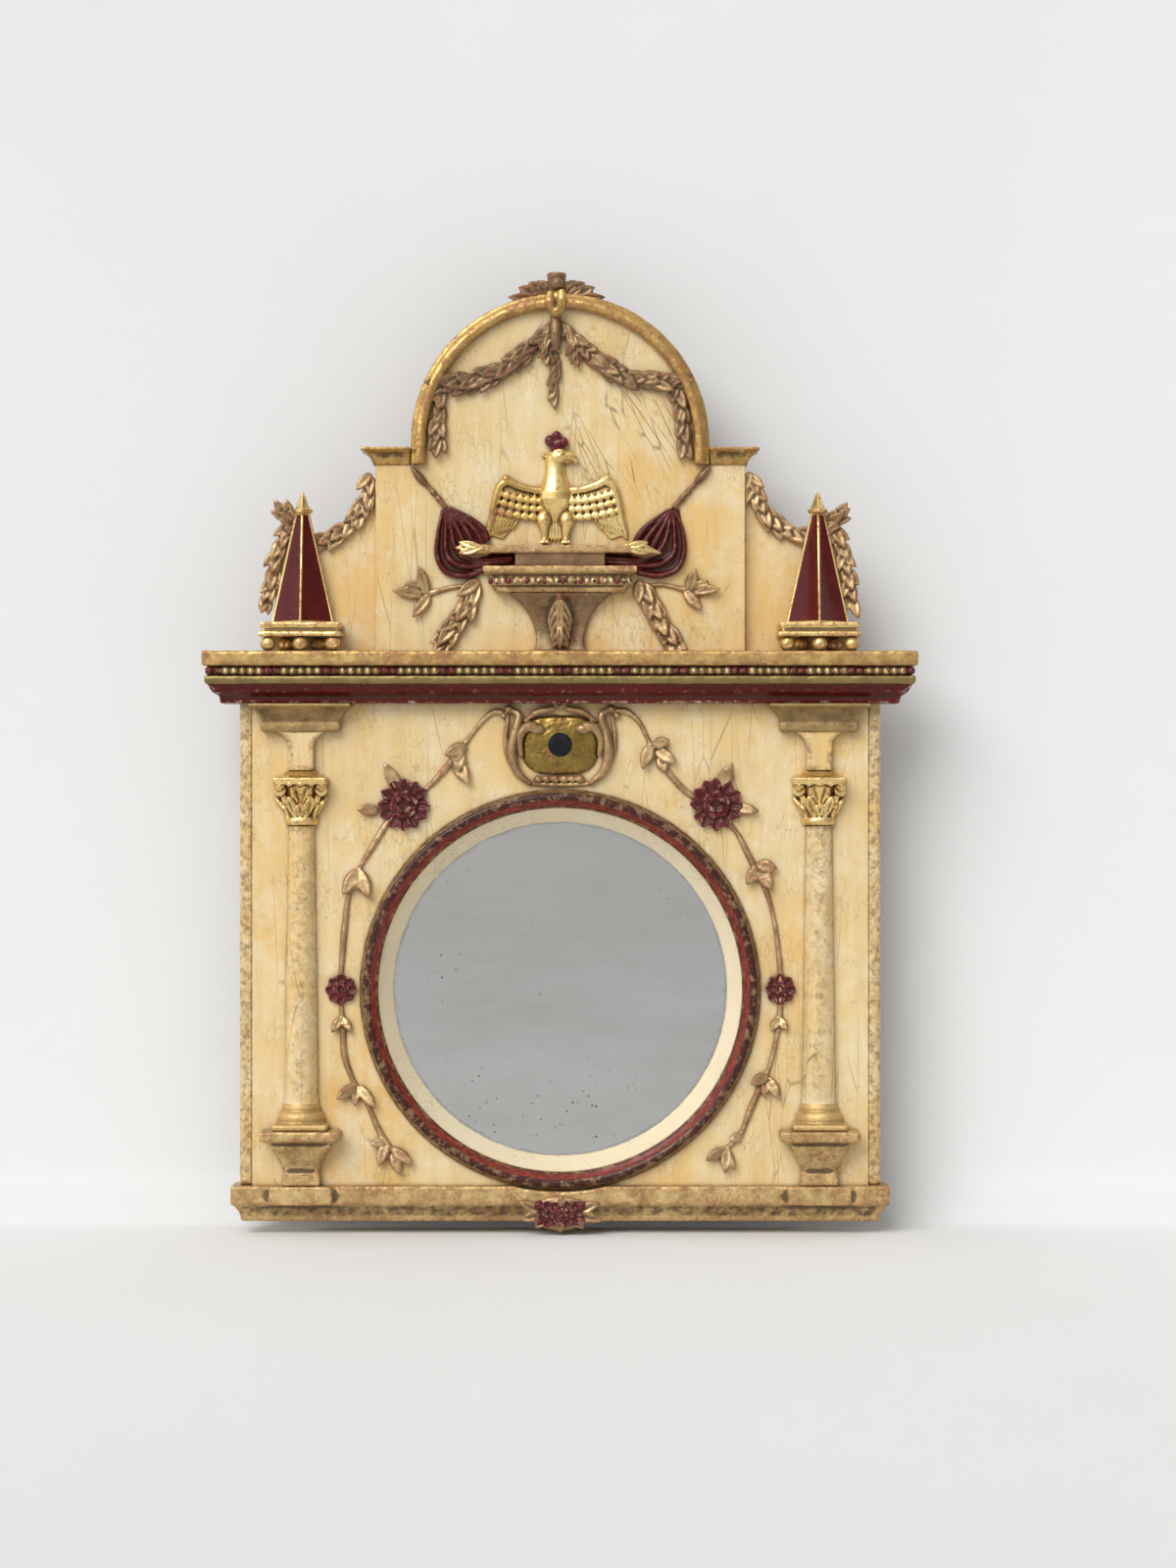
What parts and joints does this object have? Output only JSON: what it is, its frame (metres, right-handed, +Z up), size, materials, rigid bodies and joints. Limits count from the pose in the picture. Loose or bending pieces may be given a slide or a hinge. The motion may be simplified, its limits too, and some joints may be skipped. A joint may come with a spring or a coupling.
{
  "type": "giltwood mirror",
  "caption": "Carved and gilded wall mirror in the form of a temple front with a round plate, columns, an arched crest, an eagle, flags and garlands, and a swinging iron hanging ring behind.",
  "frame": {"origin": "on the wall plane, behind the middle of the upper batten, level with the top face of the cornice shelf", "axes": "+X to the right seen from the front, +Y backwards into the wall, +Z up"},
  "size_m": [0.5, 0.056, 0.6763],
  "materials": {
    "cream_paint": "cream paint over gesso, crackled and stained with ochre, rubbed through to grey wood at the edges",
    "worn_gilding": "gold leaf worn through to red and brown bole",
    "brown_gilding": "old gilding gone coppery brown, with gold left in the hollows",
    "burgundy_lacquer": "glossy burgundy lacquer over silver and gold leaf",
    "tortoiseshell_red": "red and dark brown mottled lacquer, glossy and fine cracked",
    "mirror_plate": "old silvered plate, greyed and foxed with black specks",
    "black_glass": "near-black polished glass",
    "bare_wood": "bare aged softwood",
    "iron": "dark forged iron"
  },
  "bodies": {
    "frame": {"arch_moulding": "worn_gilding", "arch_panel": "cream_paint", "base_rail": "worn_gilding", "base_roses": "burgundy_lacquer", "batten_nails": "iron", "capital_left": "worn_gilding", "capital_right": "worn_gilding", "cartouche": "worn_gilding", "cartouche_disc": "black_glass", "column_left": "cream_paint", "column_right": "cream_paint", "console_bracket": "worn_gilding", "console_shelf": "worn_gilding", "cornice_beads": "worn_gilding", "cornice_cavetto": "burgundy_lacquer", "cornice_shelf": "worn_gilding", "crest_ornament": "brown_gilding", "eagle_body": "worn_gilding", "eagle_plinth": "worn_gilding", "eagle_wing_left": "worn_gilding", "eagle_wing_right": "worn_gilding", "ear_moulding_left": "worn_gilding", "ear_moulding_right": "worn_gilding", "edge_strip_left": "cream_paint", "edge_strip_right": "cream_paint", "flag_left": "burgundy_lacquer", "flag_right": "burgundy_lacquer", "glass_brads": "iron", "hanger_staple": "iron", "impost_left": "cream_paint", "impost_right": "cream_paint", "large_flower_left": "burgundy_lacquer", "large_flower_right": "burgundy_lacquer", "laurel_left": "brown_gilding", "laurel_right": "brown_gilding", "lower_batten": "bare_wood", "main_board": "cream_paint", "mirror_backboard": "bare_wood", "mirror_glass": "mirror_plate", "mirror_ring": "tortoiseshell_red", "obelisk_feet": "worn_gilding", "obelisk_left": "burgundy_lacquer", "obelisk_right": "burgundy_lacquer", "obelisk_slab_left": "worn_gilding", "obelisk_slab_right": "worn_gilding", "pedestal_left": "worn_gilding", "pedestal_right": "worn_gilding", "small_flower_left": "burgundy_lacquer", "small_flower_right": "burgundy_lacquer", "swag_left": "brown_gilding", "swag_pendant": "brown_gilding", "swag_right": "brown_gilding", "upper_batten": "bare_wood", "upper_board": "cream_paint", "vine_left": "brown_gilding", "vine_right": "brown_gilding", "wing_garland_left": "brown_gilding", "wing_garland_right": "brown_gilding"},
    "hanging_ring": {"hanger_ring": "iron"}
  },
  "joints": [
    {"name": "ring_swing", "type": "hinge", "parent": "frame", "child": "hanging_ring", "pos_m": [0, -0.0065, 0.173], "axis": [1, 0, 0], "range_deg": [0, 180]}
  ]
}
